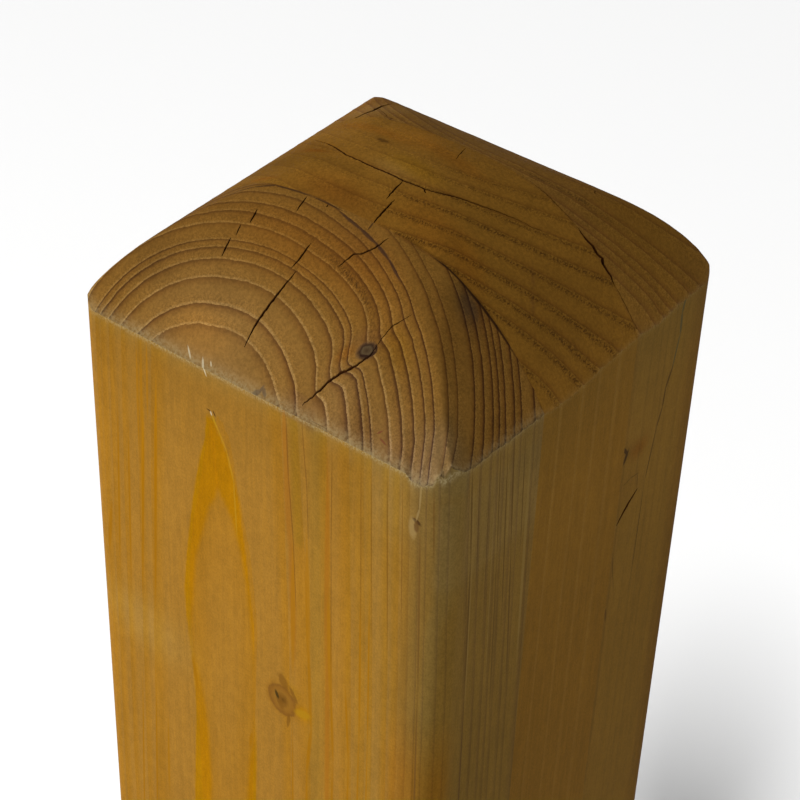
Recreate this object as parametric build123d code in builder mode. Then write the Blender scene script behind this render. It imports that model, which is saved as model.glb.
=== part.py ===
from build123d import *
import math
import os

# A square post glued up from three softwood boards, planed to size, with a head rounded on
# all four sides and four rounded arrises. X runs across, Y runs from front to back, and Z
# runs up from the sawn foot. All sizes are in millimetres.

# Driving dimensions of the planed post
post_width = 90.0
post_length = 1000.0
head_rise = 28.2
arris_radius = 5.0

# Board thicknesses after planing: the middle board takes what the outer two leave
front_thickness = 28.6
back_thickness = 29.8

# How far a drying check reaches below the lower of its two ends
check_depth = 6.0
shake_depth = 4.0
open_joint_depth = 9.0
side_split_depth = 3.0

half_width = post_width / 2
front_joint_y = front_thickness - half_width
back_joint_y = half_width - back_thickness

# Drying checks of the front board: X of each end, its distance in from the front face, and
# the width of the mouth. A bow bends the check to the right of its way from start to end.
front_checks = [
    {"start": (-5.5, 3.7), "end": (-2.7, 15.2), "mouth": 0.55, "bow": 0.4},
    {"start": (-3.7, 15.4), "end": (-3.4, 20.3), "mouth": 0.35, "bow": 0.0},
    {"start": (-18.5, 12.5), "end": (-18.8, 15.5), "mouth": 0.3, "bow": 0.0},
    {"start": (-18.2, 16.4), "end": (-18.5, 18.1), "mouth": 0.25, "bow": 0.0},
    {"start": (-17.1, 19.1), "end": (-17.5, 21.5), "mouth": 0.3, "bow": 0.0},
    {"start": (10.5, 1.1), "end": (17.9, 7.6), "mouth": 0.6, "bow": -0.5},
    {"start": (17.6, 7.4), "end": (19.8, 10.4), "mouth": 0.5, "bow": 0.5},
    {"start": (4.3, 18.6), "end": (5.7, 21.7), "mouth": 0.3, "bow": 0.3},
    {"start": (5.6, 21.6), "end": (8.6, 24.6), "mouth": 0.45, "bow": 0.4},
]

# Radial checks of the middle board, measured back from its front glue line
middle_checks = [
    {"start": (2.9, 5.9), "end": (2.2, 11.9), "mouth": 0.35, "bow": 0.2},
    {"start": (4.6, 0.6), "end": (4.3, 6.7), "mouth": 0.45, "bow": -0.2},
]

# The long ring shake of the middle board, which follows one growth ring across the crown
shake = {"start": (-12.8, 13.6), "end": (27.0, 24.0), "mouth": 0.4, "bow": 5.6}

# The stretch of the back glue line that has opened, along X
open_joint_start = 18.0
open_joint_end = 38.2
open_joint_mouth = 0.5

# The check by the back left corner, in from the back face
back_check = {"start": (-24.8, 29.6), "end": (-22.8, 20.6), "mouth": 0.6, "bow": 0.6}

# The split beside the knot of the back board, on the right face: distance back from the back
# glue line, and height from the eave
side_split = {"start": (0.4, -48.2), "end": (7.4, -42.6), "mouth": 0.7, "bow": 0.3}

# The head is two equal arcs that cross, one over each pair of faces
eave_height = post_length - head_rise
head_radius = (half_width**2 + head_rise**2) / (2 * head_rise)


def head_height(x, y):
    """Height of the rounded head over a place in plan, which is set by the nearer face."""
    reach = min(max(abs(x), abs(y)), half_width)
    return post_length - head_radius + math.sqrt(head_radius**2 - reach**2)


def draw_leaf(start, end, mouth, bow):
    """Draws a leaf-shaped split: widest at its middle, closed to nothing at both ends."""
    run = Vector(*end) - Vector(*start)
    middle = (Vector(*start) + Vector(*end)) / 2
    aside = Vector(run.Y, -run.X).normalized()
    ThreePointArc(start, middle + aside * (bow + mouth / 2), end)
    ThreePointArc(end, middle + aside * (bow - mouth / 2), start)


def cut_check(start, end, mouth, bow, depth):
    """Cuts a split down into the head, to one level that is set by its lower end."""
    floor = min(head_height(*start), head_height(*end)) - depth
    with BuildSketch(Plane.XY.offset(floor)) as opening:
        with BuildLine():
            draw_leaf(start, end, mouth, bow)
        make_face()
    extrude(opening.sketch, amount=post_length - floor, mode=Mode.SUBTRACT)


def measured_from(face_y, towards, check):
    """Turns the ends of a check, given as X and a distance from a face, into X and Y."""
    placed = dict(check)
    for which in ("start", "end"):
        x, distance = check[which]
        placed[which] = (x, face_y + towards * distance)
    return placed


# The glued blank, planed square with rounded arrises, before its head is machined
with BuildPart() as planed_post:
    with BuildSketch():
        Rectangle(post_width, post_width)
    extrude(amount=post_length)
    fillet(planed_post.edges().filter_by(Axis.Z), radius=arris_radius)
    # One pass of the head cutter rounds the head from side to side, the other from front to back
    for across in (Plane.XZ, Plane.YZ):
        with BuildSketch(across) as head_section:
            with BuildLine():
                left_eave = (-half_width, eave_height)
                right_eave = (half_width, eave_height)
                ThreePointArc(left_eave, (0, post_length), right_eave)
                Polyline(right_eave, (half_width, 0), (-half_width, 0), left_eave)
            make_face()
        extrude(amount=half_width, both=True, mode=Mode.INTERSECT)

front_joint = Plane((0, front_joint_y, 0), z_dir=(0, 1, 0))
back_joint = Plane((0, back_joint_y, 0), z_dir=(0, 1, 0))

# The front board was sawn close above the pith, so its rings are tight arcs and its checks
# run out from the middle of the front face
with BuildPart() as front_board:
    add(planed_post.part)
    split(bisect_by=front_joint, keep=Keep.BOTTOM)
    for check in front_checks:
        cut_check(**measured_from(-half_width, 1, check), depth=check_depth)
front_board.part.label = "front_board"

# The middle board holds the crown, with a shake round one growth ring and the open joint
with BuildPart() as middle_board:
    add(planed_post.part)
    split(bisect_by=front_joint, keep=Keep.TOP)
    split(bisect_by=back_joint, keep=Keep.BOTTOM)
    for check in middle_checks:
        cut_check(**measured_from(front_joint_y, 1, check), depth=check_depth)
    cut_check(**measured_from(front_joint_y, 1, shake), depth=shake_depth)
    joint_ends = ((open_joint_start, back_joint_y), (open_joint_end, back_joint_y))
    cut_check(*joint_ends, open_joint_mouth, 0, depth=open_joint_depth)
middle_board.part.label = "middle_board"

# The back board has the other half of the open joint, a check by its left corner and a split
# beside a knot on its right face
with BuildPart() as back_board:
    add(planed_post.part)
    split(bisect_by=back_joint, keep=Keep.TOP)
    cut_check(*joint_ends, open_joint_mouth, 0, depth=open_joint_depth)
    cut_check(**measured_from(half_width, -1, back_check), depth=check_depth)
    right_face = Plane((half_width, back_joint_y, eave_height), x_dir=(0, 1, 0), z_dir=(1, 0, 0))
    with BuildSketch(right_face) as split_opening:
        with BuildLine():
            draw_leaf(**side_split)
        make_face()
    extrude(split_opening.sketch, amount=-side_split_depth, mode=Mode.SUBTRACT)
back_board.part.label = "back_board"

os.makedirs("parts", exist_ok=True)
export_step(front_board.part, "parts/front_board.step")
export_step(middle_board.part, "parts/middle_board.step")
export_step(back_board.part, "parts/back_board.step")
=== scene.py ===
import math

import bmesh
import bpy
import numpy as np
from mathutils import Matrix, Vector


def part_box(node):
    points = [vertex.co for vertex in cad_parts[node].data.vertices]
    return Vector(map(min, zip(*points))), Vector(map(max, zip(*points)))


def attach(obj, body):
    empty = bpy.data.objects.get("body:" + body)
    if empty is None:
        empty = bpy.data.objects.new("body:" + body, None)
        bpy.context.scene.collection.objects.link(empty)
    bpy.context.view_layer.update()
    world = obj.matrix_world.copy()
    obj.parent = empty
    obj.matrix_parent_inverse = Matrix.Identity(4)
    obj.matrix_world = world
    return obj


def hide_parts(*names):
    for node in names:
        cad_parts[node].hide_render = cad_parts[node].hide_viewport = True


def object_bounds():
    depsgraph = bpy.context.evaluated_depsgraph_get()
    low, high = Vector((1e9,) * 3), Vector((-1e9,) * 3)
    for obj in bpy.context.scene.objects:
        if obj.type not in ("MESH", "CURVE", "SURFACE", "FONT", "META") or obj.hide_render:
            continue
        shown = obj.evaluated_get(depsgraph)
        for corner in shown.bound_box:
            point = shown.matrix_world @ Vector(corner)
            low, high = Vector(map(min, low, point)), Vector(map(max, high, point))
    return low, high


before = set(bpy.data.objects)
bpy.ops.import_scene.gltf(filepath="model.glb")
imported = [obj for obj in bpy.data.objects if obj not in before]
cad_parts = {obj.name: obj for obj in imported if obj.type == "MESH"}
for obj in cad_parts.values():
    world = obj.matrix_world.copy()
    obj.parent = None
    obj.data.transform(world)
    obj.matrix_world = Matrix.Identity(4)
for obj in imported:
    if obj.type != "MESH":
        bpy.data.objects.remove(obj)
cad_low, cad_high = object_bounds()

# The view: the camera stands to the right of the front board and looks down on the head, so
# that the whole head and the first 150 mm of the front and right faces fill the picture.
# Sizes in this script are millimetres in the frame of the post, and mm turns them to metres.
mm = 0.001
post_height = cad_high.z / mm
half_width = cad_high.x / mm
head_rise = 28.2
eave = post_height - head_rise

view_azimuth = 36.143
view_elevation = 38.234
view_roll = 2.32
view_distance = 442.93
view_aside = -0.684
view_below_eave = -22.401
lens_length = 101.365

azimuth, elevation, roll = map(math.radians, (view_azimuth, view_elevation, view_roll))
view_back = Vector((
    math.sin(azimuth) * math.cos(elevation),
    -math.cos(azimuth) * math.cos(elevation),
    math.sin(elevation),
))
level_right = Vector((math.cos(azimuth), math.sin(azimuth), 0))
level_up = view_back.cross(level_right)
view_right = level_right * math.cos(roll) + level_up * math.sin(roll)
view_up = level_up * math.cos(roll) - level_right * math.sin(roll)
aim = Vector((0, 0, eave)) + view_right * view_aside + view_up * view_below_eave

camera = bpy.data.objects.new("camera", bpy.data.cameras.new("camera"))
camera.data.lens = lens_length
camera.data.clip_start = 0.01
camera.data.clip_end = 30
camera.matrix_world = Matrix.Translation((aim + view_back * view_distance) * mm) @ Matrix(
    (view_right, view_up, view_back)).transposed().to_4x4()
bpy.context.scene.collection.objects.link(camera)
bpy.context.scene.camera = camera

# The front board: softwood planed to 28.6 mm, sawn close above the pith, so its rings are tight
# arcs on the head and open into a pointed flame down the front face. A pin knot bends them. It
# is glued to the middle board along its whole back.
head_radius = (half_width**2 + head_rise**2) / (2 * head_rise)
arris_radius = 5.0
front_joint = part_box("front_board")[1].y / mm
plan_sides = ("front", "right", "back", "left")

# The points of the board's skin: how far apart on the head, then row by row below it, each
# with the depth below the eave that these rows reach
front_grid = 0.37
wall_rows = ((0.35, 2.8), (0.8, 10), (1.6, 150), (3.5, 200), (14, 500), (26, eave))

# How far the machined edge of the head wanders from the eave, by the way round it: minus along
# the front face, 0 at the front right arris and plus along the right face
eave_wander = (
    (-10, 0), (-8.7, -1.2), (-7, -0.9), (-6, -0.4), (-3.8, 0.7), (-3.3, 2.1), (-2.6, 2.4),
    (-1.6, 1.4), (-0.6, 2.0), (0, 2.5), (1, 3.0), (2.7, 3.5), (4.3, 3.3), (7, 2.7), (9.7, 2.5),
    (12.8, 2.6), (16.4, 2.0), (19, 1.8), (23, 1.8), (25, 1.5), (28.4, 1.3), (34, 0.3), (42, 0.1),
    (48, 0.7), (62, 0.8), (68, -0.3), (75, 0.2), (85, 0))

# The strip of the head beside its edge in which it wanders, and how much taller the ring
# ridges stand there on the right, as small teeth
eave_strip = 7.0
tooth_growth = 6

# The far corners of the head are rubbed round: from where, over what distance, and how deep
corner_start, corner_over, corner_rub = 40, 3, 0.7

# The hips of the head are worn round: over what width, by distance from the crown
hip_wear = ((0, 14), (15, 12), (24, 7), (31, 2.6), (35, 1.2), (45, 0.7))


def head_height(x, y):
    """Height of the rounded head over a place in plan, with its hips worn round."""
    far = np.maximum(np.abs(x), np.abs(y))
    near = np.minimum(np.abs(x), np.abs(y))
    width = np.interp(far, *zip(*hip_wear))
    share = np.clip(1 - (far - near) / width, 0, 1)
    reach = np.minimum(far + share**2 * width / 4, half_width)
    return post_height - head_radius + np.sqrt(head_radius**2 - reach**2)


def eave_shift(x, y):
    """How far the edge of the head wanders beside a place, on the front and right faces."""
    seen = (x > half_width - eave_strip) | (y < eave_strip - half_width)
    return np.where(seen, np.interp(x + y, *zip(*eave_wander)), 0)


def worn_height(x, y, relief):
    """Height of the head as it is worn, with the wander of its edge, where the hard ring lines
    stand out as small teeth, and with its far corners rubbed round."""
    edge = np.clip(1 - inset(x, y) / eave_strip, 0, 1)**2
    teeth = 1 + tooth_growth * edge * (x > half_width - eave_strip)
    past = np.minimum(np.abs(x), np.abs(y)) - corner_start
    corner = np.clip(past / corner_over, 0, 1) * ((x < 0) | (y > 0))
    rubbed = corner_rub * corner * np.exp(-inset(x, y) / corner_rub)
    return head_height(x, y) - relief(x, y) * teeth + edge * eave_shift(x, y) - rubbed


def round_arrises(x, y):
    """Draws the square corners of the plan in to the rounded arrises."""
    straight = half_width - arris_radius
    past_x = np.maximum(np.abs(x) - straight, 0)
    past_y = np.maximum(np.abs(y) - straight, 0)
    drawn = np.maximum(past_x, past_y) / np.maximum(np.hypot(past_x, past_y), 1e-9)
    near_x = np.minimum(np.abs(x), straight) + past_x * drawn
    near_y = np.minimum(np.abs(y), straight) + past_y * drawn
    return np.sign(x) * near_x, np.sign(y) * near_y


def inset(x, y):
    """Distance from the planed outline, which is 0 on every planed face."""
    straight = half_width - arris_radius
    past_x, past_y = np.abs(x) - straight, np.abs(y) - straight
    in_corner = (past_x > 0) & (past_y > 0)
    return np.where(in_corner, arris_radius - np.hypot(past_x, past_y),
                    arris_radius - np.maximum(past_x, past_y))


def ripple(points, size, seed, waves=14):
    """Smooth seeded unevenness between about -1 and 1, of one size in each direction."""
    dice = np.random.default_rng(seed)
    total = np.zeros(len(points[0]))
    for _ in range(waves):
        heading = dice.normal(size=len(points))
        heading /= np.linalg.norm(heading)
        phase = dice.uniform(0, 2 * math.pi)
        pitch = dice.uniform(0.6, 1.5)
        along = sum(h * p / s for h, p, s in zip(heading, points, size))
        total += np.cos(2 * math.pi * pitch * along + phase)
    return total / math.sqrt(waves)


def wall_drops():
    """Depths of the rows of the planed faces, from the head's edge to the foot."""
    drops = [0.0]
    for step, depth in wall_rows:
        count = max(1, round((depth - drops[-1]) / step))
        drops += list(np.linspace(drops[-1], depth, count + 1)[1:])
    return np.array(drops)


def board_skin(y_front, y_back, grid, planed, relief):
    """One closed skin of a board: a fine grid on the head, rows down the planed faces, and
    one flat face for each glued side and for the foot. Gives its points and faces."""
    across = round(2 * half_width / grid)
    along = round((y_back - y_front) / grid)
    x, y = np.meshgrid(np.linspace(-half_width, half_width, across + 1),
                       np.linspace(y_front, y_back, along + 1), indexing="ij")
    x, y = round_arrises(x.ravel(), y.ravel())
    head = np.stack([x, y, worn_height(x, y, relief)], 1)
    number = np.arange(len(x)).reshape(across + 1, along + 1)
    quads = np.stack([number[:-1, :-1], number[1:, :-1], number[1:, 1:], number[:-1, 1:]], -1)
    faces = [tuple(q) for q in quads.reshape(-1, 4).tolist()]
    sides = {
        "front": number[:, 0], "right": number[-1, :],
        "back": number[::-1, -1], "left": number[0, ::-1],
    }
    left_over = 1 - wall_drops()[1:] / eave
    points = [head]
    columns = {}
    total = len(x)
    for side in planed:
        for top in sides[side].tolist():
            if top in columns:
                continue
            below = head[top, 2] * left_over
            columns[top] = [top] + list(range(total, total + len(below)))
            points.append(np.stack([np.full(len(below), head[top, 0]),
                                    np.full(len(below), head[top, 1]), below], 1))
            total += len(below)
    foot = []
    for side in plan_sides:
        run = sides[side].tolist()
        if side in planed:
            for a, b in zip(run[:-1], run[1:]):
                one, two = columns[a], columns[b]
                faces += [(one[k + 1], two[k + 1], two[k], one[k]) for k in range(len(one) - 1)]
            foot += [columns[a][-1] for a in run[:-1]]
        else:
            first, last = columns[run[0]], columns[run[-1]]
            faces.append(tuple([first[-1]] + last[::-1] + run[-2:0:-1] + first[:-1]))
            foot.append(first[-1])
    faces.append(tuple(foot[::-1]))
    return np.concatenate(points), faces


def fill_mesh(name, points, faces):
    """A mesh from points in millimetres."""
    mesh = bpy.data.meshes.new(name)
    mesh.from_pydata((points * mm).tolist(), [], faces)
    mesh.validate()
    return mesh


# Growth rings of the front board, about a pith that was sawn away 22 mm in front of the face.
# Each traced ring has its radius at seven bearings from the pith, the head's right side first.
front_pith = (-9.0, -67.0)
ring_bearings = (30, 44, 60, 80, 100, 120, 140)
front_rings = {
    0: (21.0, 21.0, 21.0, 21.0, 21.0, 21.0, 21.0),
    1: (27.6, 27.2, 26.6, 26.6, 26.5, 27.4, 28.1),
    3: (34.8, 34.0, 33.6, 33.2, 32.6, 32.8, 33.0),
    5: (41.3, 39.7, 38.9, 37.8, 37.2, 37.2, 37.1),
    7: (45.9, 43.4, 43.0, 41.4, 41.4, 41.1, 41.0),
    9: (50.2, 47.8, 46.9, 46.1, 45.9, 46.6, 47.0),
    11: (53.6, 51.4, 50.2, 50.1, 51.5, 53.0, 54.0),
    14: (60.7, 60.2, 59.0, 59.5, 60.0, 60.0, 60.0),
    20: (69.3, 69.3, 69.3, 69.3, 69.3, 69.3, 69.3),
    23: (76.3, 76.3, 76.3, 76.3, 76.3, 76.3, 76.3),
}

# The same rings along the bearing of 85 degrees, ring by ring, where they are all measured
front_ring_radii = (21.0, 26.4, 29.0, 32.9, 35.5, 37.3, 38.7, 42.1, 43.8, 45.4, 47.7, 49.6,
                    53.3, 55.6, 60.0, 61.8, 63.6, 64.8, 66.0, 67.9, 69.2, 72.1, 74.2, 76.3)

# How strongly each ring line of the front board shows: its brown late band, the dark line at
# its edge and the pale hard line outside it
front_late = (0.1, 0.6, 0.95, 0.7, 0.6, 0.45, 0.4, 0.45, 0.4, 0.4, 0.5, 0.6, 0.55, 0.5, 0.6,
              0.7, 0.6, 0.6, 0.7, 0.7, 0.6, 0.7, 0.2, 0.2)
front_line = (0.1, 0.5, 0.75, 0.5, 0.75, 0.95, 0.95, 0.5, 0.9, 0.9, 0.9, 1.0, 0.6, 0.6, 1.0,
              1.0, 1.0, 1.0, 1.0, 1.0, 1.0, 1.0, 0.2, 0.2)
front_pale = (0.1, 0.9, 0.9, 0.9, 0.7, 0.5, 0.5, 0.9, 0.45, 0.5, 0.35, 0.3, 0.1, 0.1, 0.15,
              0.15, 0.1, 0.1, 0.1, 0.1, 0.1, 0.1, 0.1, 0.1)
# The lines are faintest on the head straight behind the flame
line_strength = ((40, 1.1), (55, 0.95), (70, 0.7), (90, 0.6), (115, 0.65), (135, 0.95))

# The pin knot grew out along one bearing and drew the rings in towards the pith beside it
knot_bearing = 49.5
knot_pull = ((24, 0), (32, 1.0), (37, 2.3), (39, 2.0), (42, 1.3), (45, 0.9), (50, 0.4), (58, 0))
knot_reach = (4.5, 2.6)

# How far each inner ring has grown outward at a depth below the eave: the tree was thicker
# lower down, so the ring nearest to the face opens into the flame
flame_growth = ((0, 0.0), (10, 1.0), (26, 1.5), (42, 2.3), (60, 2.8), (81, 2.6), (105, 2.25),
                (130, 2.1), (180, 2.9), (260, 1.2), (340, 2.6), (450, 0.4), (560, 2.4),
                (700, 1.5), (830, 3.0), (972, 2.0))
ring_growth = ((0, 0.0), (50, 1.3), (121, 2.4), (400, 3.4), (972, 4.4))


def front_ring_number(x, y, depth):
    """Which growth ring a place in the front board lies in, counted from the flame, with the
    place inside the ring as the fraction."""
    out_x, out_y = x - front_pith[0], y - front_pith[1]
    bearing = np.degrees(np.arctan2(out_y, out_x))
    radius = np.hypot(out_x, out_y)
    aside = bearing - knot_bearing
    reach = np.where(aside > 0, knot_reach[0], knot_reach[1])
    radius = radius + np.interp(radius, *zip(*knot_pull)) * np.exp(-(aside / reach)**2)
    flame = np.interp(depth, *zip(*flame_growth))
    growth = np.interp(depth, *zip(*ring_growth))
    lines = []
    for key, radii in front_rings.items():
        lines.append(np.interp(bearing, ring_bearings, radii) + (flame if key == 0 else growth))
    keys = list(front_rings)
    level = front_ring_radii[0] + np.minimum(radius - lines[0], 0)
    for key, after, low, high in zip(keys, keys[1:], lines, lines[1:]):
        share = np.clip((radius - low) / (high - low), 0, 1)
        level = level + share * (front_ring_radii[after] - front_ring_radii[key])
    return ring_at(level, front_ring_radii)


def ring_at(radius, radii):
    """The ring number at a radius, between rings of given radii."""
    inside = np.minimum(radius - radii[0], 0) / 5
    return np.interp(radius, radii, np.arange(len(radii))) + inside


def ring_width(number, radii):
    """The width in millimetres of the ring that a place lies in."""
    widths = np.diff(radii)
    return np.interp(number, np.arange(len(widths)) + 0.5, widths)


# What is worn off the whole head, and how far apart its lumps lie. A ridge falls off over one
# distance inside its ring line and over another outside it.
head_wear = 0.03
lump_size = (1.8, 1.8)
fall_inside = 0.55
fall_outside = 0.3


def ring_relief(number, radii, step):
    """Weathered end grain: each ring ends in a hard ridge, and the soft wood past it is worn
    away. Gives how far the surface lies under the planed head."""
    width = ring_width(number, radii)
    past = (number % 1.0) * width
    to_come = width - past
    return step * np.minimum(1 - np.exp(-to_come / fall_inside),
                             1 - np.exp(-(past / fall_outside)**2))


def worn_rings(x, y, number, radii, step, seed, uneven):
    """How far the worn head lies under the planed one, by its rings and its unevenness."""
    return head_wear + ring_relief(number, radii, step) + ripple((x, y), lump_size, seed) * uneven


def front_relief(x, y):
    """How far the head of the front board is worn: the ridges are lower towards its back."""
    number = front_ring_number(x, y, np.zeros_like(x))
    step = 0.075 * np.interp(number, (0, 8, 14, 22), (1.0, 1.0, 0.7, 0.9))
    return worn_rings(x, y, number, front_ring_radii, step, 3, 0.012)


def cut_wedge(board, rows):
    """Cuts a wedge out of the board: rows holds its left edge, its right edge and its keel."""
    count = len(rows) // 3
    faces = [(0, count, 2 * count), (count - 1, 3 * count - 1, 2 * count - 1)]
    for k in range(count - 1):
        left, right, deep = k, count + k, 2 * count + k
        faces += [(left, left + 1, right + 1, right), (right, right + 1, deep + 1, deep),
                  (deep, deep + 1, left + 1, left)]
    wedge = bpy.data.objects.new("wedge", fill_mesh("wedge", rows, faces))
    shape = bmesh.new()
    shape.from_mesh(wedge.data)
    bmesh.ops.recalc_face_normals(shape, faces=shape.faces)
    shape.to_mesh(wedge.data)
    shape.free()
    bpy.context.scene.collection.objects.link(wedge)
    cut = board.modifiers.new("crack", "BOOLEAN")
    cut.object, cut.operation, cut.solver = wedge, "DIFFERENCE", "MANIFOLD"
    graph = bpy.context.evaluated_depsgraph_get()
    opened = bpy.data.meshes.new_from_object(board.evaluated_get(graph))
    board.modifiers.clear()
    board.data = opened
    bpy.data.objects.remove(wedge)


# A crack strays a little from its points at each step, and is never narrower than a hair
crack_step = 0.45
crack_stray = 0.035
crack_hair = 0.02


def crack_run(points, mouth, seed):
    """A crack followed in small steps: its places, the way across it, its half width, and how
    full it is, which is most in the middle and nothing at both ends."""
    points = np.array(points, float)
    steps = np.hypot(*np.diff(points, axis=0).T)
    along = np.concatenate([[0], np.cumsum(steps)])
    count = max(5, int(along[-1] / crack_step))
    t = np.linspace(0, along[-1], count)
    place = np.stack([np.interp(t, along, points[:, k]) for k in (0, 1)], 1)
    heading = np.gradient(place, t, axis=0)
    heading /= np.linalg.norm(heading, axis=1)[:, None]
    aside = np.stack([-heading[:, 1], heading[:, 0]], 1)
    dice = np.random.default_rng(seed)
    place[1:-1] += aside[1:-1] * dice.normal(0, crack_stray, count - 2)[:, None]
    fullness = np.sin(np.pi * np.linspace(0.02, 0.98, count))**0.6
    half = mouth * 0.46 * fullness * dice.uniform(0.85, 1.1, count) + crack_hair
    return place, aside, half, fullness


def open_head_cracks(board, cracks):
    """Opens drying cracks in the head, each with its points, its mouth and its depth."""
    for serial, (points, mouth, depth) in enumerate(cracks):
        place, aside, half, fullness = crack_run(points, mouth, 100 + serial)
        level = head_height(place[:, 0], place[:, 1])
        rise, fall = 1.0, depth * fullness
        spread = aside * (half * (1 + rise / fall))[:, None]
        cut_wedge(board, np.concatenate([
            np.column_stack([place + spread, level + rise]),
            np.column_stack([place - spread, level + rise]),
            np.column_stack([place, level - fall])]))


def make_board(name, points, faces, cracks):
    """Makes the board's object, which stands for its plain solid."""
    board = bpy.data.objects.new(name + "_wood", fill_mesh(name + "_wood", points, faces))
    bpy.context.scene.collection.objects.link(board)
    open_head_cracks(board, cracks)
    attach(board, "root")
    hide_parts(name)
    return board


# Points further in than this from the planed outline lie on the head
head_inset = 0.02


def board_points(board):
    """The board's points in millimetres, their depth below the eave, and which lie on its
    head."""
    flat = np.empty(len(board.data.vertices) * 3)
    board.data.vertices.foreach_get("co", flat)
    x, y, z = flat.reshape(-1, 3).T / mm
    return x, y, z, np.maximum(eave - z, 0), inset(x, y) > head_inset


def keep(board, **kept):
    """Stores values for each point of the board, for its finishes to read."""
    for name, values in kept.items():
        made = board.data.attributes.new(name, "FLOAT", "POINT")
        made.data.foreach_set("value", np.ascontiguousarray(values, dtype=np.float32))


def keep_tint(board, tint):
    """Stores how much of each colour the wood throws back at each point of the board."""
    made = board.data.attributes.new("tint", "FLOAT_COLOR", "POINT")
    rows = np.column_stack([tint, np.ones(len(tint))])
    made.data.foreach_set("color", np.ascontiguousarray(rows.ravel(), dtype=np.float32))


# Stains and streaks of the wood: how each changes the red, green and blue that it throws back
stains = {
    "yellow": (1.11, 1.02, 0.0),
    "tawny": (0.8, 0.78, 0.55),
    "olive": (0.86, 0.95, 0.9),
    "gold": (1.04, 1.02, 0.35),
    "amber": (1.3, 1.2, 1.0),
    "orange": (1.03, 0.95, 0.4),
    "rust": (1.03, 0.8, 0.5),
    "glow": (1.17, 0.96, 0.55),
    "straw": (1.0, 1.08, 1.35),
    "brown": (0.72, 0.62, 0.6),
    "grey": (0.6, 0.69, 0.96),
    "shade": (0.84, 0.84, 0.84),
    "violet": (0.66, 0.62, 1.0),
    "dark": (0.25, 0.2, 0.2),
    "bleached": (1.5, 1.85, 3.4),
    "worn": (1.12, 1.22, 1.7),
}


def lay_stain(tint, reach, stain, strength):
    """Multiplies a stain into the tint, as far as it reaches at each point."""
    change = np.array(stains[stain]) - 1
    tint *= 1 + (np.clip(reach, 0, 1) * strength)[:, None] * change


def in_oval(u, v, cu, cv, ru, rv, turn):
    """A place measured from the middle of an oval, in its half sizes."""
    a = math.radians(turn)
    du, dv = u - cu, v - cv
    return (du * math.cos(a) + dv * math.sin(a)) / ru, (dv * math.cos(a) - du * math.sin(a)) / rv


def spots(tint, u, v, where, marks):
    """Oval stains: each has its centre, its half sizes, its turn in degrees, its stain and
    its strength."""
    for *oval, stain, strength in marks:
        away = np.hypot(*in_oval(u, v, *oval))
        lay_stain(tint, np.exp(-away**3) * where, stain, strength)


def streaks(tint, u, v, where, marks):
    """Long stains that follow their points, each with its half width, stain and strength."""
    for points, half, stain, strength in marks:
        nearest = np.full(len(u), np.inf)
        run = np.array(points, float)
        for start, end in zip(run[:-1], run[1:]):
            way = end - start
            past = (u - start[0]) * way[0] + (v - start[1]) * way[1]
            share = np.clip(past / (way @ way), 0, 1)
            away = np.hypot(u - start[0] - share * way[0], v - start[1] - share * way[1])
            nearest = np.minimum(nearest, away)
        lay_stain(tint, np.exp(-(nearest / half)**3.5) * where, stain, strength)


# Drying cracks of the front board: the points that each follows, its mouth and its depth
front_cracks = [
    ([(-2.7, -29.8), (-4.0, -34.6), (-5.1, -38.5), (-5.5, -41.4)], 0.55, 6),
    ([(-3.4, -24.7), (-3.6, -27.8), (-4.0, -29.6)], 0.45, 4),
    ([(-17.6, -23.3), (-17.1, -26.0)], 0.4, 3),
    ([(-18.6, -26.9), (-18.2, -28.8)], 0.3, 3),
    ([(-18.9, -29.4), (-18.5, -32.6)], 0.4, 3),
    ([(-10.7, -17.0), (-10.3, -20.7)], 0.35, 2.5),
    ([(-5.8, -16.9), (-5.6, -17.6)], 0.3, 1.5),
    ([(9.3, -17.9), (8.5, -20.5), (7.1, -22.4), (5.5, -23.4), (4.3, -26.4)], 0.45, 5),
    ([(10.4, -43.9), (11.9, -42.7), (14.6, -39.9), (17.9, -37.4), (19.4, -35.8), (19.7, -34.4)],
     0.5, 6),
    ([(19.7, -34.4), (20.0, -32.6), (20.5, -30.9), (21.7, -29.5), (22.7, -28.1)], 0.22, 3),
]

front_points, front_faces = board_skin(-half_width, front_joint, front_grid,
                                       ("left", "front", "right"), front_relief)
front_board = make_board("front_board", front_points, front_faces, front_cracks)


def keep_grain(board, x, y, depth, numbered, radii, late, line, pale, relief, strength=1.0):
    """Stores the growth rings of a board, and how far each point lies inside a crack."""
    number = numbered(x, y, depth)
    gap = worn_height(x, y, relief) - board_points(board)[2]
    keep(board, ring=number, ring_width=ring_width(number, radii),
         late=np.interp(number, np.arange(len(late)), late) * strength,
         line=np.interp(number, np.arange(len(line)), line) * strength,
         pale=np.interp(number, np.arange(len(pale)), pale) * strength,
         gap=np.where(inset(x, y) > 0.3, gap, 0))


# How far the head runs along its arc, beside the eave, for each millimetre in plan
arc_run = 2.1


def edge_reach(x, y, z, above, below):
    """1 along the eave, where the head meets the planed faces. It fades over one width on the
    head and over another down the faces."""
    edge = eave + eave_shift(x, y)
    away = np.where(inset(x, y) > head_inset, inset(x, y) * arc_run / above, (edge - z) / below)
    return np.exp(-away**2)


def hump(value, middle, half, power=2):
    """1 in the middle, and fading to nothing on both sides."""
    return np.exp(-((value - middle) / half)**power)


fx, fy, fz, front_depth, on_head = board_points(front_board)
front_bearing = np.degrees(np.arctan2(fy - front_pith[1], fx - front_pith[0]))
keep_grain(front_board, fx, fy, front_depth, front_ring_number, front_ring_radii,
           front_late, front_line, front_pale, front_relief,
           np.where(on_head, np.interp(front_bearing, *zip(*line_strength)), 1))
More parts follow.
